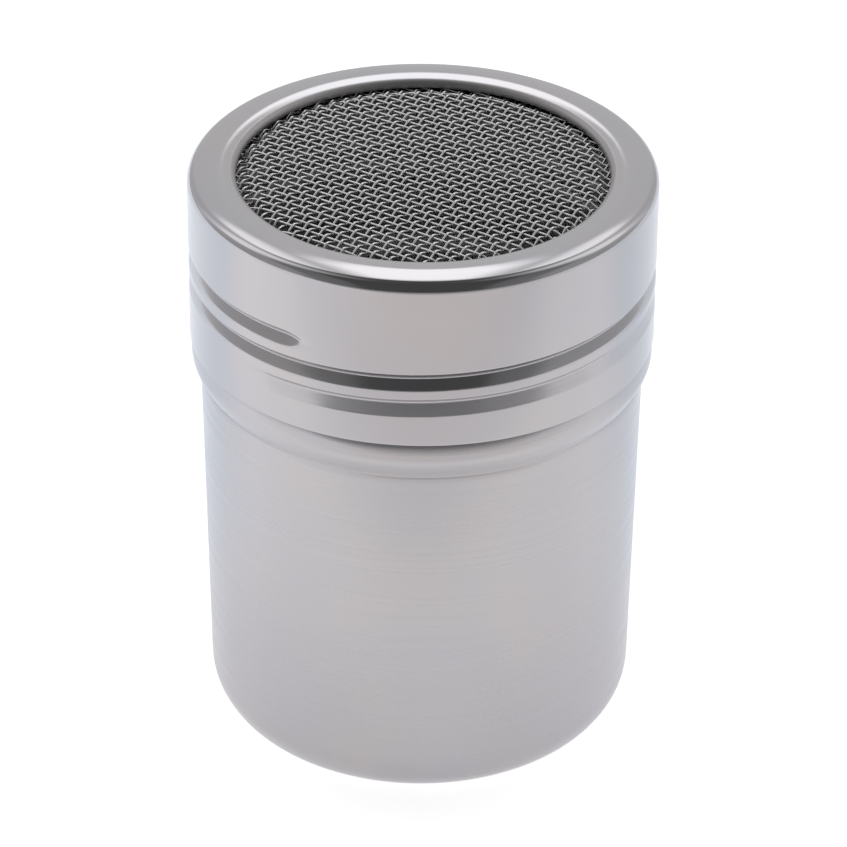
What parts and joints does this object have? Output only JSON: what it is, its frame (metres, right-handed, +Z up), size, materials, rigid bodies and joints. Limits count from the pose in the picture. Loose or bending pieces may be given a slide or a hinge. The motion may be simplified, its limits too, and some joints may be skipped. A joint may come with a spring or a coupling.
{
  "type": "mesh-top spice shaker",
  "caption": "Stainless-steel shaker: a rounded cup with a screw lid whose crowned rim frames a fine woven-wire disc for dusting spice, sugar or flour.",
  "frame": {"origin": "centre of the cup's flat base, on the surface it stands on", "axes": "+Z up along the axis of the cup and lid; -Y is the front, and +X is to its right"},
  "size_m": [0.0648, 0.0648, 0.086],
  "materials": {
    "drawn_cup_steel": "satin, fine turned lines around the wall",
    "drawn_lid_steel": "satin, fine turned lines around the rim",
    "ring_steel": "plain rolled sheet",
    "mesh_wire": "drawn wire"
  },
  "bodies": {
    "cup": {"cup_body": "drawn_cup_steel"},
    "lid_carrier": {"mesh_retaining_ring": "ring_steel"},
    "lid": {"lid_shell": "drawn_lid_steel", "warp_wires_01": "mesh_wire", "warp_wires_02": "mesh_wire", "warp_wires_03": "mesh_wire", "warp_wires_04": "mesh_wire", "warp_wires_05": "mesh_wire", "warp_wires_06": "mesh_wire", "warp_wires_07": "mesh_wire", "warp_wires_08": "mesh_wire", "warp_wires_09": "mesh_wire", "warp_wires_10": "mesh_wire", "warp_wires_11": "mesh_wire", "warp_wires_12": "mesh_wire", "warp_wires_13": "mesh_wire", "warp_wires_14": "mesh_wire", "warp_wires_15": "mesh_wire", "warp_wires_16": "mesh_wire", "warp_wires_17": "mesh_wire", "warp_wires_18": "mesh_wire", "warp_wires_19": "mesh_wire", "warp_wires_20": "mesh_wire", "warp_wires_21": "mesh_wire", "weft_wires_01": "mesh_wire", "weft_wires_02": "mesh_wire", "weft_wires_03": "mesh_wire", "weft_wires_04": "mesh_wire", "weft_wires_05": "mesh_wire", "weft_wires_06": "mesh_wire", "weft_wires_07": "mesh_wire", "weft_wires_08": "mesh_wire", "weft_wires_09": "mesh_wire", "weft_wires_10": "mesh_wire", "weft_wires_11": "mesh_wire", "weft_wires_12": "mesh_wire", "weft_wires_13": "mesh_wire", "weft_wires_14": "mesh_wire", "weft_wires_15": "mesh_wire", "weft_wires_16": "mesh_wire", "weft_wires_17": "mesh_wire", "weft_wires_18": "mesh_wire"}
  },
  "joints": [
    {"name": "lid_lift", "type": "slide", "parent": "cup", "child": "lid_carrier", "axis": [0, 0, 1], "range_m": [0, 0.0222]},
    {"name": "lid_turn", "type": "hinge", "parent": "lid_carrier", "child": "lid", "pos_m": [0, 0, 0.073], "axis": [0, 0, 1], "range_deg": [0, 2070]}
  ],
  "couplings": [
    {"joint": "lid_lift", "follows": "lid_turn", "m_per_rad": 0.00061275}
  ]
}
